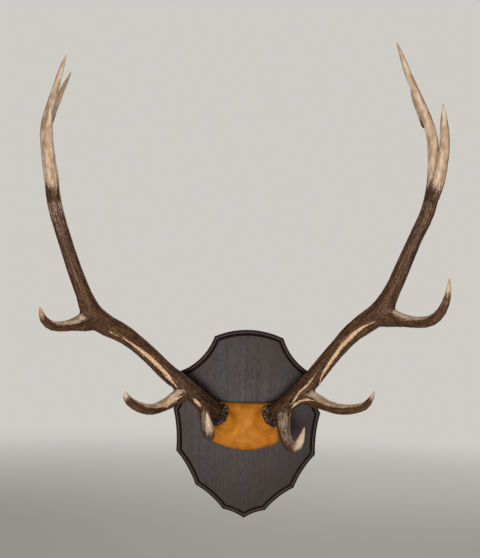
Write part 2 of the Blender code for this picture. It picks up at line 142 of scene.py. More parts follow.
def arc_points(start, end, bow, count):
    """Points from start up to, but without, end, along an arc that bows to the left of the way."""
    start, end = Vector(start), Vector(end)
    way = end - start
    left = Vector((-way.y, way.x)).normalized()
    radius = ((way.length / 2) ** 2 + bow**2) / (2 * bow)
    centre = start.lerp(end, 0.5) + left * (bow - radius)
    turn = -2 * math.copysign(math.atan2(way.length / 2, abs(radius) - abs(bow)), bow)
    spoke = start - centre
    points = []
    for i in range(count):
        cos, sin = math.cos(turn * i / count), math.sin(turn * i / count)
        turned = Vector((spoke.x * cos - spoke.y * sin, spoke.x * sin + spoke.y * cos))
        points.append(centre + turned)
    return points


def cut_out(piece, cutter):
    """Cuts a closed cutter out of a piece, and deletes the cutter."""
    step = piece.modifiers.new("cut", "BOOLEAN")
    step.object = cutter
    take_up(piece)
    bpy.ops.object.modifier_apply(modifier="cut")
    bpy.data.objects.remove(cutter)


outline = []
for first, second, bow, count in ARCS:
    outline += arc_points(CORNERS[first], CORNERS[second], bow, count)
outline.append(Vector(CORNERS["tip"]))
# The ear is so sharp that the moulding's insets would turn shorter sides next to it round.
ear = Vector(CORNERS["ear"])
outline = [point for point in outline if not 0.001 < (point - ear).length < EAR_SIDE]
outline += [Vector((-point.x, point.y)) for point in reversed(outline[1:-1])]

deselect()
bpy.ops.mesh.primitive_circle_add(vertices=len(outline), radius=OUTLINE_RADIUS, fill_type="NGON")
plaque = bpy.context.object
plaque.name = "walnut_plaque"
for vertex, point in zip(plaque.data.vertices, reversed(outline)):
    vertex.co = (point.x, -BACK_CHAMFER, point.y)
bpy.ops.object.mode_set(mode="EDIT")
bpy.ops.mesh.select_mode(type="FACE")
bpy.ops.mesh.select_all(action="SELECT")
side_height = MOULDING_MM[0][1] / 1000 - BACK_CHAMFER
bpy.ops.mesh.extrude_region_move(TRANSFORM_OT_translate={"value": (0, -side_height, 0)})
for (inset, height), (next_inset, next_height) in zip(MOULDING_MM, MOULDING_MM[1:]):
    step_in, step_up = (next_inset - inset) / 1000, (next_height - height) / 1000
    bpy.ops.mesh.inset(thickness=step_in, depth=step_up, use_even_offset=True)
bpy.ops.mesh.select_all(action="SELECT")
bpy.ops.mesh.normals_make_consistent(inside=False)
bpy.ops.mesh.select_all(action="DESELECT")
bpy.ops.object.mode_set(mode="OBJECT")
for face in plaque.data.polygons:
    face.select = face.normal.y > 0.9
bpy.ops.object.mode_set(mode="EDIT")
bpy.ops.mesh.inset(thickness=BACK_CHAMFER, depth=BACK_CHAMFER, use_even_offset=True)
bpy.ops.object.mode_set(mode="OBJECT")

deselect()
bpy.ops.mesh.primitive_cube_add(size=1, location=(0, 0, HANGER_HEIGHT))
recess = bpy.context.object
recess.scale = RECESS_SIZE
bpy.ops.object.transform_apply(location=True, rotation=True, scale=True)
cut_out(plaque, recess)
for x, z in MOUNTING_SCREWS.values():
    for radius, depth in (
        (COUNTERBORE_RADIUS, COUNTERBORE_DEPTH * 2), (SCREW_HOLE_RADIUS, SCREW_HOLE_CUT)
    ):
        deselect()
        bpy.ops.mesh.primitive_cylinder_add(
            vertices=32, radius=radius, depth=depth, location=(x, 0, z), rotation=(math.pi / 2, 0, 0)
        )
        bpy.ops.object.transform_apply(location=True, rotation=True, scale=True)
        cut_out(plaque, bpy.context.object)

places = np.array([vertex.co for vertex in plaque.data.vertices])[:, (0, 2)]
starts = np.array([tuple(point) for point in outline])
ways = np.roll(starts, -1, axis=0) - starts
from_start = places[:, None] - starts[None]
share = np.clip((from_start * ways).sum(2) / (ways**2).sum(1), 0, 1)
from_edge = np.linalg.norm(from_start - share[:, :, None] * ways, axis=2).min(1)
from_edge_layer = plaque.data.attributes.new("from_edge", "FLOAT", "POINT")
from_edge_layer.data.foreach_set("value", from_edge.astype(np.float32))
take_up(plaque)
bpy.ops.object.shade_smooth_by_angle(angle=MOULDING_SMOOTH_ANGLE)


def linear(hex_colour):
    """A linear colour from the sRGB hex value of a finish."""
    channels = [int(hex_colour[i : i + 2], 16) / 255 for i in (1, 3, 5)]
    return (*[c / 12.92 if c <= 0.04045 else ((c + 0.055) / 1.055) ** 2.4 for c in channels], 1)


def add_node(material, kind, settings=None, stops=None, **inputs):
    """Adds a node. An input is a value, or the output of another node, named with _ for a space."""
    node = material.node_tree.nodes.new(kind)
    for name, value in (settings or {}).items():
        setattr(node, name, value)
    for i, (place, colour) in enumerate(stops or ()):
        ramp = node.color_ramp.elements
        stop = ramp[i] if i < len(ramp) else ramp.new(place)
        stop.position = place
        stop.color = linear(colour)
    for name, value in inputs.items():
        key = int(name[1:]) if name[1:].isdigit() else name.replace("_", " ")
        socket = node.inputs[key]
        if isinstance(value, bpy.types.NodeSocket):
            material.node_tree.links.new(value, socket)
        else:
            socket.default_value = value
    return node


def new_material(name):
    """A material with nothing but its Principled shader, which is returned with it."""
    material = bpy.data.materials.new(name)
    material.use_nodes = True
    return material, material.node_tree.nodes["Principled BSDF"]


# Walnut under a dark stain and a satin varnish: fibres run up the boards, with open pores of
# 0.3 mm that hold the stain. The varnish fills them nearly level and gives a soft sheen.
FIBRE_WIDTH = 0.0022
FIBRE_LENGTH = 0.16
BAND_WIDTH = 0.011
BAND_LENGTH = 0.55
PORE_WIDTH = 0.0012
PORE_LENGTH = 0.014
BOARDS_HALF_WIDTH = 0.18
MOULDING_WIDTH = 0.0150
GRAIN_RELIEF = 0.0003

walnut, shader = new_material("dark stained walnut, satin varnish")
place = add_node(walnut, "ShaderNodeTexCoord").outputs["Object"]
drift = add_node(walnut, "ShaderNodeTexNoise", Vector=place, Scale=9.0, Detail=2.0)
drift_by = add_node(
    walnut, "ShaderNodeVectorMath", {"operation": "MULTIPLY_ADD"},
    _0=drift.outputs["Color"], _1=(0.014, 0.0, 0.0), _2=place,
)
bent = drift_by.outputs["Vector"]
grain = {}
for layer, width, length, detail in (
    ("fibre", FIBRE_WIDTH, FIBRE_LENGTH, 4.0),
    ("band", BAND_WIDTH, BAND_LENGTH, 2.0),
    ("pore", PORE_WIDTH, PORE_LENGTH, 1.0),
):
    stretched = add_node(
        walnut, "ShaderNodeVectorMath", {"operation": "MULTIPLY"},
        _0=bent, _1=(1 / width, 1 / width, 1 / length),
    )
    texture = add_node(
        walnut, "ShaderNodeTexNoise", Vector=stretched.outputs["Vector"], Scale=1.0, Detail=detail
    )
    grain[layer] = texture.outputs["Fac"]
across = add_node(walnut, "ShaderNodeSeparateXYZ", Vector=place)
board_place = add_node(
    walnut, "ShaderNodeMapRange", Value=across.outputs["X"],
    From_Min=-BOARDS_HALF_WIDTH, From_Max=BOARDS_HALF_WIDTH,
)
# The boards' own tones, from left to right across the shield.
boards = add_node(
    walnut, "ShaderNodeValToRGB",
    stops=(
        (0.0, "#a58a7c"), (0.235, "#a58a7c"), (0.240, "#867f7c"), (0.400, "#80766f"),
        (0.405, "#93796c"), (0.560, "#846a5d"), (0.565, "#9c7f70"), (0.720, "#a0796a"),
        (0.725, "#7f726b"), (1.0, "#7a6d64"),
    ),
    Fac=board_place.outputs["Result"],
)
fibre_tone = add_node(
    walnut, "ShaderNodeValToRGB",
    stops=((0.30, "#1d110c"), (0.50, "#38241b"), (0.68, "#4f3529")),
    Fac=grain["fibre"],
)
band_tone = add_node(
    walnut, "ShaderNodeValToRGB",
    stops=((0.32, "#7d6d66"), (0.48, "#c9bab3"), (0.66, "#f4e6df")),
    Fac=grain["band"],
)
toned = add_node(
    walnut, "ShaderNodeMix", {"data_type": "RGBA", "blend_type": "MULTIPLY"},
    _0=1.0, _6=fibre_tone.outputs["Color"], _7=band_tone.outputs["Color"],
)
boarded = add_node(
    walnut, "ShaderNodeMix", {"data_type": "RGBA", "blend_type": "OVERLAY"},
    _0=0.5, _6=toned.outputs[2], _7=boards.outputs["Color"],
)
pores = add_node(
    walnut, "ShaderNodeMapRange", Value=grain["pore"], From_Min=0.58, From_Max=0.70
)
pored = add_node(
    walnut, "ShaderNodeMix", {"data_type": "RGBA"},
    _0=pores.outputs["Result"], _6=boarded.outputs[2], _7=linear("#140a06"),
)
edge_place = add_node(walnut, "ShaderNodeAttribute", {"attribute_name": "from_edge"})
edge_share = add_node(
    walnut, "ShaderNodeMapRange",
    Value=edge_place.outputs["Fac"], From_Min=0.0, From_Max=MOULDING_WIDTH,
)
# How much dark stain is laid on, from the plain edge over the bead and the quirk to the face: the
# darkest bands, at the plain edge and in the quirk, are painted shade.
stain_and_painted_shade = add_node(
    walnut, "ShaderNodeValToRGB",
    stops=(
        (0.0, "#ffffff"), (0.07, "#e0e0e0"), (0.18, "#404040"), (0.50, "#404040"),
        (0.62, "#ffffff"), (0.84, "#ffffff"), (0.91, "#000000"),
    ),
    Fac=edge_share.outputs["Result"],
)
with_stain_and_shade = add_node(
    walnut, "ShaderNodeMix", {"data_type": "RGBA"},
    _0=stain_and_painted_shade.outputs["Color"], _6=pored.outputs[2], _7=linear("#1c0704"),
)
relief = add_node(
    walnut, "ShaderNodeMath", {"operation": "MULTIPLY_ADD"},
    _0=pores.outputs["Result"], _1=-0.8, _2=grain["fibre"],
)
bump = add_node(
    walnut, "ShaderNodeBump",
    Strength=0.35, Distance=GRAIN_RELIEF, Height=relief.outputs["Value"],
)
gloss = add_node(
    walnut, "ShaderNodeMapRange", Value=grain["band"], From_Min=0.3, From_Max=0.7,
    To_Min=0.42, To_Max=0.50,
)
walnut.node_tree.links.new(with_stain_and_shade.outputs[2], shader.inputs["Base Color"])
walnut.node_tree.links.new(gloss.outputs["Result"], shader.inputs["Roughness"])
walnut.node_tree.links.new(bump.outputs["Normal"], shader.inputs["Normal"])
shader.inputs["Specular IOR Level"].default_value = 0.2
plaque.data.materials.append(walnut)
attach(plaque, "root")
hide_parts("plaque")

# The leather is one piece of smooth golden tan hide, stretched over the skull cap, tucked under
# the burrs and tacked down behind its edge. It is 1.2 mm thick and shows the form below it.
LEATHER_THICKNESS = 0.0012
LEATHER_CLEARANCE = 0.0017
BURR_SEATS = {"left": (-0.066, -0.078, 0.024), "right": (0.057, -0.078, 0.025)}
SEAT_REACH = 0.019
WALL_SIDE = -0.0236
LEATHER_VOXEL = 0.0018
STRETCH_ROUNDS = 400
LEATHER_SMOOTH_ANGLE = math.radians(45)
# The skin's own unevenness: broad swells, and finer pulls that run down the front.
SWELL_SIZE = 0.035
SWELL_HEIGHT = 0.0005
PULL_SIZE = (0.010, 0.010, 0.030)
PULL_HEIGHT = 0.00012

deselect()
frame["nodes"]["skull_cap"].select_set(True)
bpy.context.view_layer.objects.active = frame["nodes"]["skull_cap"]
bpy.ops.object.duplicate()
leather = bpy.context.object
leather.name = "leather_skull_cover"
del leather["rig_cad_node"]
bpy.ops.object.mode_set(mode="EDIT")
bpy.ops.mesh.select_all(action="SELECT")
bpy.ops.mesh.remove_doubles(threshold=0.00001)
bpy.ops.transform.shrink_fatten(value=LEATHER_CLEARANCE)
bpy.ops.object.mode_set(mode="OBJECT")
remesh = leather.modifiers.new("skin", "REMESH")
remesh.mode = "VOXEL"
remesh.voxel_size = LEATHER_VOXEL
bpy.ops.object.modifier_apply(modifier="skin")
smooth = leather.modifiers.new("stretch", "SMOOTH")
smooth.factor = 0.5
smooth.iterations = 10
bpy.ops.object.modifier_apply(modifier="stretch")


def mesh_arrays(piece):
    """The places of a piece's points, its edges, and its points' normals."""
    mesh = piece.data
    places = np.empty(len(mesh.vertices) * 3, np.float32)
    mesh.vertices.foreach_get("co", places)
    edges = np.empty(len(mesh.edges) * 2, np.int32)
    mesh.edges.foreach_get("vertices", edges)
    normals = np.empty(len(mesh.vertices) * 3, np.float32)
    mesh.vertices.foreach_get("normal", normals)
    places, normals = (values.reshape(-1, 3).astype(float) for values in (places, normals))
    return places, edges.reshape(-1, 2), normals


def set_places(piece, places):
    piece.data.vertices.foreach_set("co", places.astype(np.float32).ravel())
    piece.data.update()


def neighbour_middles(values, edges, count):
    """For each point, the mean of its neighbours' values."""
    total = np.zeros_like(values)
    for k in range(values.shape[1]):
        total[:, k] = np.bincount(edges[:, 0], values[edges[:, 1], k], len(values))
        total[:, k] += np.bincount(edges[:, 1], values[edges[:, 0], k], len(values))
    return total / count[:, None]


def fill_hollows(piece, rounds, where=None):
    """Grows a piece's surface outwards where it is hollow, as skin does that bridges a hollow."""
    points, edges, normals = mesh_arrays(piece)
    count = np.bincount(edges.ravel(), minlength=len(points)).astype(float)
    for k in range(rounds):
        if k % 15 == 0:
            set_places(piece, points)
            normals = mesh_arrays(piece)[2]
        pull = ((neighbour_middles(points, edges, count) - points) * normals).sum(1)
        points += normals * (0.5 * np.maximum(pull, 0) * (1 if where is None else where))[:, None]
    set_places(piece, points)


fill_hollows(leather, STRETCH_ROUNDS)
for face in leather.data.polygons:
    middle = face.center
    at_wall = middle.y > WALL_SIDE
    at_burr = any((middle - Vector(seat)).length < SEAT_REACH for seat in BURR_SEATS.values())
    face.select = at_wall or at_burr
bpy.ops.object.mode_set(mode="EDIT")
bpy.ops.mesh.delete(type="FACE")
bpy.ops.mesh.select_all(action="DESELECT")
bpy.ops.object.mode_set(mode="OBJECT")
outermost = max(leather.data.vertices, key=lambda vertex: vertex.co.x)
outermost.select = True
bpy.ops.object.mode_set(mode="EDIT")
bpy.ops.mesh.select_mode(type="VERT")
bpy.ops.mesh.select_linked()
bpy.ops.mesh.select_all(action="INVERT")
bpy.ops.mesh.delete(type="VERT")
bpy.ops.object.mode_set(mode="OBJECT")

places, _, normals = mesh_arrays(leather)
for i, (place_now, normal) in enumerate(zip(places, normals)):
    swell = noise.noise(Vector(place_now) / SWELL_SIZE)
    pull = noise.noise(Vector([part / size for part, size in zip(place_now, PULL_SIZE)]))
    places[i] = place_now + normal * (SWELL_HEIGHT * swell + PULL_HEIGHT * pull)
set_places(leather, places)
wall = leather.modifiers.new("thickness", "SOLIDIFY")
wall.thickness = LEATHER_THICKNESS
wall.offset = -1
bpy.ops.object.modifier_apply(modifier="thickness")
bpy.ops.object.shade_smooth_by_angle(angle=LEATHER_SMOOTH_ANGLE)

# Aniline dyed calf: the grain's pebbles are about 0.8 mm, drawn at 1.6 mm to show in the render.
# The dye is cloudy.
PEBBLE = 0.0016
CREASE = 0.004
CLOUD = 0.020
PEBBLE_RELIEF = 0.0003

calf, shader = new_material("golden tan calf leather, semi-matt")
place = add_node(calf, "ShaderNodeTexCoord").outputs["Object"]
pebbles = add_node(
    calf, "ShaderNodeTexVoronoi", {"feature": "SMOOTH_F1"}, Vector=place, Scale=1 / PEBBLE
)
creases = add_node(calf, "ShaderNodeTexNoise", Vector=place, Scale=1 / CREASE, Detail=4.0)
clouds = add_node(
    calf, "ShaderNodeTexNoise", Vector=place, Scale=1 / CLOUD, Detail=4.0, Roughness=0.6
)
dye = add_node(
    calf, "ShaderNodeValToRGB",
    stops=((0.30, "#9c5b0e"), (0.50, "#b06a14"), (0.70, "#bd7a20")),
    Fac=clouds.outputs["Fac"],
)
speck = add_node(
    calf, "ShaderNodeMapRange", Value=creases.outputs["Fac"], From_Min=0.60, From_Max=0.75,
    To_Max=0.5,
)
specked = add_node(
    calf, "ShaderNodeMix", {"data_type": "RGBA"},
    _0=speck.outputs["Result"], _6=dye.outputs["Color"], _7=linear("#80480a"),
)
pebble_height = add_node(
    calf, "ShaderNodeMath", {"operation": "MULTIPLY_ADD"},
    _0=creases.outputs["Fac"], _1=0.8, _2=pebbles.outputs["Distance"],
)
bump = add_node(
    calf, "ShaderNodeBump",
    Strength=0.25, Distance=PEBBLE_RELIEF, Height=pebble_height.outputs["Value"],
)
calf.node_tree.links.new(specked.outputs[2], shader.inputs["Base Color"])
calf.node_tree.links.new(bump.outputs["Normal"], shader.inputs["Normal"])
shader.inputs["Roughness"].default_value = 0.68
shader.inputs["Specular IOR Level"].default_value = 0.25
leather.data.materials.clear()
leather.data.materials.append(calf)
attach(leather, "root")
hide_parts("leather_cover")

# The skull cap is the top of the skull with its two pedicles, boiled clean and trimmed flat. It
# keeps its solid and gets a dry bone surface.
BONE_PIT = 0.0025
BONE_RELIEF = 0.0004

bone, shader = new_material("boiled skull bone, dry")
place = add_node(bone, "ShaderNodeTexCoord").outputs["Object"]
pits = add_node(bone, "ShaderNodeTexNoise", Vector=place, Scale=1 / BONE_PIT, Detail=5.0)
bone_tone = add_node(
    bone, "ShaderNodeValToRGB",
    stops=((0.35, "#b3a184"), (0.60, "#ddd0b4")),
    Fac=pits.outputs["Fac"],
)
bump = add_node(
    bone, "ShaderNodeBump", Strength=0.4, Distance=BONE_RELIEF, Height=pits.outputs["Fac"]
)
bone.node_tree.links.new(bone_tone.outputs["Color"], shader.inputs["Base Color"])
bone.node_tree.links.new(bump.outputs["Normal"], shader.inputs["Normal"])
shader.inputs["Roughness"].default_value = 0.7
for material_slot in frame["nodes"]["skull_cap"].material_slots:
    material_slot.link = "OBJECT"
    material_slot.material = bone

# Each antler is one piece of bone that grew from its burr: a main beam with five tines. Its
# stations run down the middle of each branch, in mm: x, distance off the wall, z, mean radius.
SPINES_MM = {
    "left": {
        "main_beam": (
            (-66, 78, 24, 25), (-88, 107, 43, 23.5), (-114, 131, 69, 22), (-148, 151, 99, 21.2),
            (-187, 168, 129, 20.2), (-222, 192, 165, 19.2), (-257, 218, 197, 19),
            (-288, 243, 221, 19.8), (-325, 269, 240, 21), (-352, 293, 263, 21.5),
            (-366, 315, 298, 18), (-388, 340, 358, 16.2), (-411, 358, 428, 15.2),
            (-432, 370, 499, 16), (-442, 376, 560, 15.8), (-452, 377, 617, 13.2),
            (-457, 372, 667, 11.8), (-450, 365, 706, 10.2), (-438, 353, 764, 7),
            (-431, 346, 796, 5.5), (-422, 338, 829, 1.5),
        ),
        "brow_tine": (
            (-96, 114, 48, 17), (-98, 140, 31, 14), (-95, 175, 12, 12.8), (-90, 214, -2, 12.5),
            (-85, 252, -3, 12), (-84, 288, 14, 9.8), (-87, 316, 38, 7), (-91, 335, 57, 1.5),
        ),
        "bez_tine": (
            (-150, 162, 83, 18.5), (-170, 176, 69, 15.2), (-192, 200, 57, 13.2),
            (-216, 243, 51, 12.5), (-235, 283, 57, 11.8), (-253, 319, 69, 10.2),
            (-265, 345, 83, 8.5), (-268, 366, 100, 1.5),
        ),
        "trez_tine": (
            (-352, 292, 254, 23), (-371, 311, 245, 18), (-390, 338, 240, 13.2),
            (-408, 370, 237, 11.8), (-427, 404, 240, 10.2), (-439, 436, 254, 8.2),
            (-443, 469, 280, 1.5),
        ),
        "dagger_tine": (
            (-435, 378, 520, 16), (-434, 405, 552, 13.5), (-435, 440, 589, 12),
            (-435, 476, 625, 10.5), (-430, 510, 658, 8), (-424, 539, 689, 1.5),
        ),
        "fifth_tine": (
            (-452, 366, 676, 10), (-444, 346, 708, 8), (-437, 324, 737, 6.5),
            (-429, 303, 767, 5), (-418, 281, 801, 1.5),
        ),
    },
    "right": {
        "main_beam": (
            (57, 78, 25, 25), (80, 107, 45, 23.5), (103, 131, 71, 22.2), (127, 151, 99, 21.5),
            (151, 168, 129, 20.5), (177, 192, 167, 19.5), (205, 218, 206, 19.2),
            (228, 243, 236, 20), (257, 269, 262, 21), (286, 293, 287, 21.8), (305, 315, 326, 18.2),
            (328, 340, 388, 16.5), (350, 358, 449, 15.2), (375, 370, 512, 16), (384, 376, 568, 15.8),
            (383, 377, 618, 13.2), (378, 373, 674, 11.8), (365, 368, 714, 10.5),
            (340, 358, 774, 8.2), (326, 350, 808, 7.2), (314, 343, 842, 5.5), (300, 335, 880, 1.5),
        ),
        "brow_tine": (
            (83, 112, 48, 18.8), (84, 134, 30, 17.2), (86, 168, 8, 15.2), (91, 208, -12, 13.2),
            (100, 250, -24, 12), (111, 290, -17, 10), (119, 320, 5, 7.5), (124, 344, 32, 1.5),
        ),
        "bez_tine": (
            (128, 158, 88, 20), (150, 172, 79, 17.2), (174, 198, 71, 13.8), (198, 236, 66, 12.8),
            (217, 272, 67, 11.8), (237, 307, 73, 10.2), (256, 340, 84, 8.5), (265, 360, 99, 6),
            (271, 378, 119, 1.5),
        ),
        "trez_tine": (
            (288, 292, 283, 23.5), (313, 309, 276, 18), (335, 331, 272, 14), (360, 362, 270, 12.8),
            (384, 398, 275, 11.8), (401, 431, 295, 10), (409, 458, 326, 7.5), (408, 484, 366, 1.5),
        ),
        "dagger_tine": (
            (383, 380, 540, 16), (391, 408, 577, 13.8), (393, 440, 613, 12), (391, 472, 647, 10.5),
            (384, 505, 681, 8.5), (375, 540, 720, 1.5),
        ),
        "fifth_tine": (
            (365, 364, 697, 10), (354, 346, 729, 8), (345, 326, 757, 6.5), (338, 305, 783, 1.5),
        ),
    },
}
# Ridges along the branches, each given a pale painted highlight on its front-facing side. As lines seen
# from the front in mm: x and z along each, its half width, how far it stands up, and how pale its
# painted highlight is.
RIDGES_MM = {
    "left": (
        (
            ((-285, 211), (-252, 187), (-225, 165), (-208, 148), (-194, 134), (-177, 112), (-165, 98)),
            4.6, 1.6, 1.0,
        ),
        (((-316, 226), (-292, 213)), 2.6, 0.6, 0.5),
        (((-127, 70), (-117, 61), (-107, 49)), 4.0, 0.6, 0.75),
        (((-153, 77), (-171, 70), (-185, 60), (-204, 56)), 6.0, 0.6, 0.9),
    ),
    "right": (
        (
            (
                (275, 267), (250, 253), (232, 236), (215, 216), (203, 199), (193, 182), (184, 167),
                (167, 133), (163, 107),
            ),
            4.2, 1.5, 1.0,
        ),
        (((154, 138), (137, 113), (119, 95), (108, 75), (99, 59)), 2.6, 0.6, 0.7),
        (((99, 50), (110, 63), (122, 74), (138, 79), (151, 78)), 3.4, 0.8, 0.8),
        (((100, 45), (102, 3)), 2.4, 0.5, 0.65),
    ),
}
# Where along each branch its pale end begins and is whole, and how much paler its upper side is
# painted, as painted light from above.
PALE = {
    "main_beam": (0.58, 0.80, 0.0),
    "brow_tine": (0.60, 0.90, 0.45),
    "bez_tine": (0.86, 1.00, 0.85),
    "trez_tine": (0.78, 1.00, 0.80),
    "dagger_tine": (0.0, 0.30, 0.3),
    "fifth_tine": (0.0, 0.30, 0.3),
}
ANTLER_VOXEL = 0.00175
JOIN_SWELL = 0.0004
CROTCH_ROUNDS = 220
SPINE_STEP = 0.003
# The bone's relief: how deep its grooves are cut and how high its pearls stand, on the beam and on
# a tine, and the sizes of one groove, one fine line and one pearl, across and along.
BEAM_GROOVE = 0.0009
TINE_GROOVE = 0.0006
BEAM_PEARL = 0.0013
BEAM_PEARL_LEFT = 0.0004
TINE_PEARL = 0.0009
GROOVE_SIZE = (0.0050, 0.0050, 0.075)
LINE_SIZE = (0.0030, 0.0030, 0.040)
PEARL_SIZE = (0.0052, 0.0052, 0.0085)
LEAST_RELIEF = 0.00002
# The burr reaches along the beam from its foot, and fades out between these two distances.
BURR_REACH = (0.020, 0.042)
KNOB_SIZE = 0.0085
KNOB_HEIGHT = 0.0034
KNOB_GRAIN = 0.0035
KNOB_GRAIN_HEIGHT = 0.0005


def smoothstep(low, high, values):
    share = np.clip((values - low) / (high - low), 0, 1)
    return share * share * (3 - 2 * share)


def fine_spine(stations):
    """Points a step apart along a smooth curve through stations, with what is across them."""
    rows = np.array([(x, -off_wall, z, radius) for x, off_wall, z, radius in stations]) / 1000
    spans = np.linalg.norm(np.diff(rows[:, :3], axis=0), axis=1)
    marks = np.concatenate([[0.0], np.cumsum(spans)])
    slopes = np.gradient(rows, marks, axis=0)
    along = np.linspace(0, marks[-1], int(marks[-1] / SPINE_STEP))
    i = np.clip(np.searchsorted(marks, along, side="right") - 1, 0, len(spans) - 1)
    t = ((along - marks[i]) / spans[i])[:, None]
    span = spans[i][:, None]
    fine = rows[i] * (2 * t**3 - 3 * t**2 + 1) + rows[i + 1] * (3 * t**2 - 2 * t**3)
    fine += slopes[i] * span * (t**3 - 2 * t**2 + t) + slopes[i + 1] * span * (t**3 - t**2)
    ways = np.gradient(fine[:, :3], axis=0)
    ways /= np.linalg.norm(ways, axis=1)[:, None]
    across = np.empty_like(ways)
    last = np.array((0.0, -1.0, 0.0))
    for k, way in enumerate(ways):
        last = last - way * last.dot(way)
        last /= np.linalg.norm(last)
        across[k] = last
    return {
        "along": along, "middle": fine[:, :3], "radius": fine[:, 3], "way": ways,
        "across": across, "other": np.cross(ways, across), "length": marks[-1],
    }


def rod_places(points, spine):
    """Where points lie against a spine: across it twice, along it, and distance over its radius."""
    nearest = np.empty(len(points), int)
    for start in range(0, len(points), 4000):
        block = points[start : start + 4000, None]
        nearest[start : start + 4000] = ((block - spine["middle"][None]) ** 2).sum(2).argmin(1)
    away = points - spine["middle"][nearest]
    on = (away * spine["way"][nearest]).sum(1)
    u = (away * spine["across"][nearest]).sum(1)
    v = (away * spine["other"][nearest]).sum(1)
    past_end = np.where((nearest == 0) | (nearest == len(spine["middle"]) - 1), np.abs(on), 0)
    ratio = np.sqrt(u**2 + v**2 + past_end**2) / spine["radius"][nearest]
    return np.stack([u, v, spine["along"][nearest] + on], 1), ratio


def knob_height(place, spread):
    """The height at a place among round knobs one unit apart, from below 0 between them to 0.55."""
    return max(0.0, 1 - (noise.voronoi(Vector(place))[0][0] / spread) ** 2) - 0.45


def grown_relief(rods, groove_depth, pearl_height):
    """The height of the bone's own relief at rod places: long blood vessel grooves, and pearling."""
    heights = np.zeros(len(rods))
    in_grooves, in_lines, in_pearls = (rods / size for size in (GROOVE_SIZE, LINE_SIZE, PEARL_SIZE))
    in_lines[:, 2] += 7
    for i, (depth, rise) in enumerate(zip(groove_depth, pearl_height)):
        if depth > LEAST_RELIEF:
            groove = abs(noise.noise(Vector(in_grooves[i])))
            heights[i] -= depth * max(0.0, 1 - groove / 0.22)
            heights[i] -= depth * 0.3 * noise.noise(Vector(in_lines[i]))
        if rise > LEAST_RELIEF:
            heights[i] += rise * knob_height(in_pearls[i], 0.55)
    return heights


def set_attribute(piece, name, kind, values):
    layer = piece.data.attributes.new(name, kind, "POINT")
    field = "vector" if kind == "FLOAT_VECTOR" else "value"
    layer.data.foreach_set(field, values.astype(np.float32).ravel())


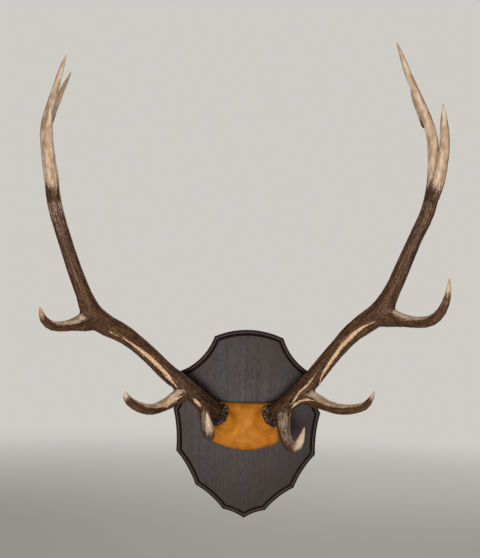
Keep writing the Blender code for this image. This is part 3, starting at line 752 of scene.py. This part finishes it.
antlers = {}
for side in SPINES_MM:
    deselect()
    for branch in SPINES_MM[side]:
        frame["nodes"][f"{side}_{branch}"].select_set(True)
    bpy.context.view_layer.objects.active = frame["nodes"][side + "_main_beam"]
    bpy.ops.object.duplicate()
    bpy.ops.object.join()
    antler = bpy.context.object
    antler.name = side + "_antler"
    del antler["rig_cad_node"]
    bpy.ops.object.mode_set(mode="EDIT")
    bpy.ops.mesh.select_all(action="SELECT")
    bpy.ops.mesh.remove_doubles(threshold=0.00001)
    bpy.ops.transform.shrink_fatten(value=JOIN_SWELL)
    bpy.ops.object.mode_set(mode="OBJECT")
    remesh = antler.modifiers.new("one bone", "REMESH")
    remesh.mode = "VOXEL"
    remesh.voxel_size = ANTLER_VOXEL
    bpy.ops.object.modifier_apply(modifier="one bone")
    smooth = antler.modifiers.new("wear", "SMOOTH")
    smooth.factor = 0.5
    smooth.iterations = 6
    bpy.ops.object.modifier_apply(modifier="wear")

    spines = {branch: fine_spine(stations) for branch, stations in SPINES_MM[side].items()}
    points, edges, normals = mesh_arrays(antler)
    count = np.bincount(edges.ravel(), minlength=len(points)).astype(float)
    beam_rods, beam_ratio = rod_places(points, spines["main_beam"])
    tine_rods = np.zeros_like(points)
    tine_ratio = np.full(len(points), np.inf)
    tine_of = np.zeros(len(points), int)
    for number, branch in enumerate(list(spines)[1:]):
        rods, ratio = rod_places(points, spines[branch])
        nearer = ratio < tine_ratio
        tine_rods[nearer] = rods[nearer]
        tine_of[nearer] = number + 1
        tine_ratio = np.minimum(tine_ratio, ratio)

    # The crotches fill in: where the surface is hollow near a fork, it grows outwards.
    near_fork = np.clip(1 - (np.maximum(beam_ratio, tine_ratio) - 1) / 1.5, 0, 1)
    fill_hollows(antler, CROTCH_ROUNDS, near_fork)
    points, edges, normals = mesh_arrays(antler)
    for k in range(4):
        normals = neighbour_middles(normals, edges, count)
        normals /= np.linalg.norm(normals, axis=1)[:, None]

    fork = smoothstep(0.0, 1.0, 0.5 + (beam_ratio - tine_ratio) / 1.4)
    beam_share = np.clip(beam_rods[:, 2] / spines["main_beam"]["length"], 0, 1)
    lengths = np.array([spine["length"] for spine in spines.values()])
    tine_share = np.clip(tine_rods[:, 2] / lengths[tine_of], 0, 1)

    underside = 0.65 - 0.35 * normals[:, 2]
    beam_groove = BEAM_GROOVE * (1 - smoothstep(0.55, 0.95, beam_share))
    beam_pearl = BEAM_PEARL * (1 - smoothstep(0.02, 0.30, beam_share)) + BEAM_PEARL_LEFT
    beam_pearl *= (1 - smoothstep(0.40, 0.60, beam_share)) * underside
    tine_groove = TINE_GROOVE * (1 - smoothstep(0.45, 0.90, tine_share))
    tine_pearl = TINE_PEARL * (1 - smoothstep(0.10, 0.55, tine_share)) * underside
    upper_tine = tine_of >= 4
    tine_pearl[upper_tine] *= 0.15
    on_beam, on_tine = fork < 0.999, fork > 0.001
    height = grown_relief(beam_rods, beam_groove * on_beam, beam_pearl * on_beam) * (1 - fork)
    # Each tine's pattern is moved sideways, so that no two tines have the same one.
    shifted = tine_rods + tine_of[:, None] * np.array((0.31, 0.0, 0.0))
    height += grown_relief(shifted, tine_groove * on_tine, tine_pearl * on_tine) * fork

    # The burr is a coronet of knobs with deep gaps between them.
    burr = 1 - smoothstep(*BURR_REACH, beam_rods[:, 2])
    for i in np.nonzero(burr > 0)[0]:
        knob = KNOB_HEIGHT * knob_height(beam_rods[i] / KNOB_SIZE, 0.68)
        small = KNOB_GRAIN_HEIGHT * noise.noise(Vector(beam_rods[i] / KNOB_GRAIN))
        height[i] += burr[i] * (knob + small)

    # Each ridge stands up a little and is painted pale along it as a highlight, only where the surface
    # faces the front.
    ridge_highlight_mask = np.zeros(len(points))
    for line, half_width, rise, strength in RIDGES_MM[side]:
        line = np.array(line) / 1000
        starts, ways = line[:-1], np.diff(line, axis=0)
        away = points[:, None, (0, 2)] - starts[None]
        share = np.clip((away * ways).sum(2) / (ways**2).sum(1), 0, 1)
        gap = np.linalg.norm(away - share[:, :, None] * ways, axis=2)
        part = gap.argmin(1)
        run = (part + share[np.arange(len(points)), part]) / len(starts)
        taper = np.clip(4 * run, 0.25, 1) * np.clip(4 * (1 - run), 0.25, 1)
        near = np.exp(-((gap.min(1) / (half_width / 1000 * taper)) ** 2))
        near *= smoothstep(0.15, -0.25, normals[:, 1])
        height += near * rise / 1000
        ridge_highlight_mask = np.maximum(ridge_highlight_mask, near * strength)
    set_places(antler, points + normals * height[:, None])

    begins, ends, upper_side_painted_light = np.array([PALE[branch] for branch in spines])[tine_of].T
    tine_pale = smoothstep(begins, ends, tine_share)
    # Painted light: each tine is painted paler where it faces up, as lit from above.
    tine_pale = np.maximum(tine_pale, upper_side_painted_light * smoothstep(0.0, 0.7, normals[:, 2]))
    beam_begins, beam_ends, _ = PALE["main_beam"]
    beam_pale = smoothstep(beam_begins, beam_ends, beam_share)
    set_attribute(antler, "beam_rod", "FLOAT_VECTOR", beam_rods)
    set_attribute(antler, "tine_rod", "FLOAT_VECTOR", shifted)
    set_attribute(antler, "fork", "FLOAT", fork)
    set_attribute(antler, "pale", "FLOAT", beam_pale * (1 - fork) + tine_pale * fork)
    # The ridges' painted highlight is stored on the mesh for the material.
    set_attribute(antler, "ridge_highlight", "FLOAT", ridge_highlight_mask)
    set_attribute(antler, "burr", "FLOAT", burr)
    set_attribute(antler, "relief", "FLOAT", np.clip(0.5 + height * 400, 0, 1))
    antler.data.materials.clear()
    take_up(antler)
    bpy.ops.object.shade_smooth()
    antlers[side] = antler

# Elk antler: bone stained brown by sap and soil, with dark grooves, and worn to ivory at its tips,
# where it is nearly polished. Its ridges carry a pale painted highlight. Its streaks run along each
# branch, 2 to 4 mm wide.
STREAK_WIDTH = 0.0034
STREAK_LENGTH = 0.060
MOTTLE_WIDTH = 0.011
MOTTLE_LENGTH = 0.030
GRAIN_WIDTH = 0.0024
GRAIN_LENGTH = 0.0045
GRAIN_HEIGHT = 0.0008

bone_brown, shader = new_material("elk antler, brown with ivory rubbed ridges")
fork = add_node(bone_brown, "ShaderNodeAttribute", {"attribute_name": "fork"}).outputs["Fac"]
noises = {}
for rod in ("beam_rod", "tine_rod"):
    place = add_node(bone_brown, "ShaderNodeAttribute", {"attribute_name": rod}).outputs["Vector"]
    for layer, width, length, detail in (
        ("streak", STREAK_WIDTH, STREAK_LENGTH, 3.0),
        ("mottle", MOTTLE_WIDTH, MOTTLE_LENGTH, 3.0),
        ("grain", GRAIN_WIDTH, GRAIN_LENGTH, 2.0),
    ):
        stretched = add_node(
            bone_brown, "ShaderNodeVectorMath", {"operation": "MULTIPLY"},
            _0=place, _1=(1 / width, 1 / width, 1 / length),
        )
        texture = add_node(
            bone_brown, "ShaderNodeTexNoise",
            Vector=stretched.outputs["Vector"], Scale=1.0, Detail=detail,
        )
        noises[rod, layer] = texture.outputs["Fac"]
layers = {}
for layer in ("streak", "mottle", "grain"):
    layers[layer] = add_node(
        bone_brown, "ShaderNodeMix",
        _0=fork, _2=noises["beam_rod", layer], _3=noises["tine_rod", layer],
    ).outputs[0]
relief = add_node(bone_brown, "ShaderNodeAttribute", {"attribute_name": "relief"}).outputs["Fac"]
shade = 0.0
for layer, share in (
    (layers["mottle"], 0.30), (layers["streak"], 0.35), (layers["grain"], 0.55), (relief, 0.30)
):
    shade = add_node(
        bone_brown, "ShaderNodeMath", {"operation": "MULTIPLY_ADD"}, _0=layer, _1=share, _2=shade
    ).outputs["Value"]
brown = add_node(
    bone_brown, "ShaderNodeValToRGB",
    stops=((0.55, "#1a0e05"), (0.70, "#412812"), (0.84, "#67452a"), (0.98, "#96714f")),
    Fac=shade,
)
burr_at = add_node(bone_brown, "ShaderNodeAttribute", {"attribute_name": "burr"}).outputs["Fac"]
# Painted shade and glints on the burr: its brown goes dark in the gaps between knobs and pale on the
# knob tops.
burr_brown_shade_and_glints = add_node(
    bone_brown, "ShaderNodeValToRGB",
    stops=((0.10, "#120a05"), (0.45, "#2c1b0e"), (0.80, "#4d3722"), (1.0, "#8c7357")),
    Fac=relief,
)
with_burr = add_node(
    bone_brown, "ShaderNodeMix", {"data_type": "RGBA"},
    _0=burr_at, _6=brown.outputs["Color"], _7=burr_brown_shade_and_glints.outputs["Color"],
)
pale_at = add_node(bone_brown, "ShaderNodeAttribute", {"attribute_name": "pale"}).outputs["Fac"]
ridge_highlight_at = add_node(bone_brown, "ShaderNodeAttribute", {"attribute_name": "ridge_highlight"}).outputs["Fac"]
# A pale area breaks up into streaks and grains at its edge.
edge = add_node(
    bone_brown, "ShaderNodeMath", {"operation": "ADD"}, _0=layers["streak"], _1=layers["grain"]
).outputs["Value"]
coats = with_burr.outputs[2]
ivory = add_node(
    bone_brown, "ShaderNodeValToRGB",
    stops=((0.38, "#a58467"), (0.52, "#c0a489"), (0.66, "#d2bda6")),
    Fac=layers["mottle"],
)
# The ridges' painted highlight: a pale tone laid along them.
ridge_highlight_tone = add_node(
    bone_brown, "ShaderNodeValToRGB",
    stops=((0.35, "#b58a63"), (0.60, "#e0bd9b")),
    Fac=layers["grain"],
)
for amount, tone in ((pale_at, ivory), (ridge_highlight_at, ridge_highlight_tone)):
    broken = add_node(
        bone_brown, "ShaderNodeMath", {"operation": "MULTIPLY_ADD"}, _0=edge, _1=0.9, _2=amount
    )
    covered = add_node(
        bone_brown, "ShaderNodeMapRange", {"interpolation_type": "SMOOTHSTEP"},
        Value=broken.outputs["Value"], From_Min=1.12, From_Max=1.62,
    )
    coats = add_node(
        bone_brown, "ShaderNodeMix", {"data_type": "RGBA"},
        _0=covered.outputs["Result"], _6=coats, _7=tone.outputs["Color"],
    ).outputs[2]
bump = add_node(
    bone_brown, "ShaderNodeBump", Strength=0.7, Distance=GRAIN_HEIGHT, Height=layers["grain"]
)
smoothness = add_node(
    bone_brown, "ShaderNodeMath", {"operation": "MAXIMUM"}, _0=ridge_highlight_at, _1=pale_at
)
roughness = add_node(
    bone_brown, "ShaderNodeMapRange", Value=smoothness.outputs["Value"], To_Min=0.56, To_Max=0.40
)
bone_brown.node_tree.links.new(coats, shader.inputs["Base Color"])
bone_brown.node_tree.links.new(roughness.outputs["Result"], shader.inputs["Roughness"])
bone_brown.node_tree.links.new(bump.outputs["Normal"], shader.inputs["Normal"])
shader.inputs["Specular IOR Level"].default_value = 0.35
for side, antler in antlers.items():
    antler.data.materials.append(bone_brown)
    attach(antler, "root")
    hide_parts(*[f"{side}_{branch}" for branch in SPINES_MM[side]])

# A stamped sawtooth hanger of zinc plated sheet steel lies in a recess in the back. It keeps its
# solid; the plating is a fine grey spangle with a dull shine.
SPANGLE = 0.003

zinc, shader = new_material("zinc plated sheet steel, dull")
place = add_node(zinc, "ShaderNodeTexCoord").outputs["Object"]
spangle = add_node(zinc, "ShaderNodeTexNoise", Vector=place, Scale=1 / SPANGLE, Detail=3.0)
plating = add_node(
    zinc, "ShaderNodeValToRGB", stops=((0.35, "#a9aaa8"), (0.65, "#cfd0cd")), Fac=spangle.outputs["Fac"]
)
gloss = add_node(zinc, "ShaderNodeMapRange", Value=spangle.outputs["Fac"], To_Min=0.25, To_Max=0.50)
zinc.node_tree.links.new(plating.outputs["Color"], shader.inputs["Base Color"])
zinc.node_tree.links.new(gloss.outputs["Result"], shader.inputs["Roughness"])
shader.inputs["Metallic"].default_value = 1.0
for material_slot in frame["nodes"]["sawtooth_hanger"].material_slots:
    material_slot.link = "OBJECT"
    material_slot.material = zinc

# Five cross recess screws, yellow passivated steel: two short ones hold the hanger, and three pan
# heads sunk in the back go through the plaque into the skull cap.
SCREWS = ["hanger_screw_left", "hanger_screw_right"]
SCREWS += ["mounting_screw_" + place for place in MOUNTING_SCREWS]
FILM_PATCH = 0.002

yellow_steel, shader = new_material("yellow passivated steel")
place = add_node(yellow_steel, "ShaderNodeTexCoord").outputs["Object"]
film = add_node(yellow_steel, "ShaderNodeTexNoise", Vector=place, Scale=1 / FILM_PATCH, Detail=2.0)
film_tone = add_node(
    yellow_steel, "ShaderNodeValToRGB",
    stops=((0.35, "#a98d4e"), (0.65, "#cdb87c")),
    Fac=film.outputs["Fac"],
)
yellow_steel.node_tree.links.new(film_tone.outputs["Color"], shader.inputs["Base Color"])
shader.inputs["Metallic"].default_value = 1.0
shader.inputs["Roughness"].default_value = 0.34
for name in SCREWS:
    for material_slot in frame["nodes"][name].material_slots:
        material_slot.link = "OBJECT"
        material_slot.material = yellow_steel

# The studio: a pale round floor that fades into a pale backdrop, one large soft light in front,
# a little below the camera, and a dim sky for the sides and the back.
FLOOR_HEIGHT = -0.56
FLOOR_RADIUS = 5.0
FADE_FROM = 1.6
FADE_TO = 4.8
SKY_LIGHT = 0.24

bpy.context.scene.view_settings.view_transform = "Standard"
world = bpy.data.worlds.new("studio")
bpy.context.scene.world = world
world.use_nodes = True
backdrop = world.node_tree.nodes["Background"]
backdrop.inputs["Color"].default_value = linear("#cfccc6")
ray = world.node_tree.nodes.new("ShaderNodeLightPath")
strength = world.node_tree.nodes.new("ShaderNodeMapRange")
strength.inputs["To Min"].default_value = SKY_LIGHT
strength.inputs["To Max"].default_value = 1.0
world.node_tree.links.new(ray.outputs["Is Camera Ray"], strength.inputs["Value"])
world.node_tree.links.new(strength.outputs["Result"], backdrop.inputs["Strength"])

deselect()
bpy.ops.mesh.primitive_circle_add(
    vertices=96, radius=FLOOR_RADIUS, fill_type="NGON", location=(0, 0, FLOOR_HEIGHT)
)
floor = bpy.context.object
floor.name = "studio_floor"
bpy.ops.object.transform_apply(location=True, rotation=True, scale=True)
paper, shader = new_material("pale studio paper")
place = add_node(paper, "ShaderNodeTexCoord").outputs["Object"]
flat_place = add_node(
    paper, "ShaderNodeVectorMath", {"operation": "MULTIPLY"}, _0=place, _1=(1.0, 1.0, 0.0)
)
reach = add_node(
    paper, "ShaderNodeVectorMath", {"operation": "LENGTH"}, _0=flat_place.outputs["Vector"]
)
fade = add_node(
    paper, "ShaderNodeMapRange", {"interpolation_type": "SMOOTHSTEP"},
    Value=reach.outputs["Value"], From_Min=FADE_FROM, From_Max=FADE_TO, To_Min=1.0, To_Max=0.0,
)
facing = add_node(paper, "ShaderNodeNewGeometry")
seen = add_node(
    paper, "ShaderNodeMath", {"operation": "MULTIPLY_ADD"},
    _0=facing.outputs["Backfacing"], _1=-1.0, _2=1.0,
)
alpha = add_node(
    paper, "ShaderNodeMath", {"operation": "MULTIPLY"},
    _0=fade.outputs["Result"], _1=seen.outputs["Value"],
)
paper.node_tree.links.new(alpha.outputs["Value"], shader.inputs["Alpha"])
shader.inputs["Base Color"].default_value = linear("#e4e1db")
shader.inputs["Roughness"].default_value = 0.9
floor.data.materials.append(paper)

for name, size, power, stand, aim in (
    ("key_light", 0.7, 92, (-0.15, -3.4, -0.12), (0.0, -0.1, 0.25)),
    ("top_light", 2.4, 16, (0.0, -1.2, 3.0), (0.0, 0.0, 0.2)),
    ("back_light", 2.0, 22, (0.6, 3.0, 1.6), (0.0, 0.0, 0.2)),
):
    light_data = bpy.data.lights.new(name, "AREA")
    light_data.size = size
    light_data.energy = power
    light = bpy.data.objects.new(name, light_data)
    light.location = stand
    light.rotation_euler = (Vector(aim) - Vector(stand)).to_track_quat("-Z", "Y").to_euler()
    light.visible_camera = False
    bpy.context.scene.collection.objects.link(light)
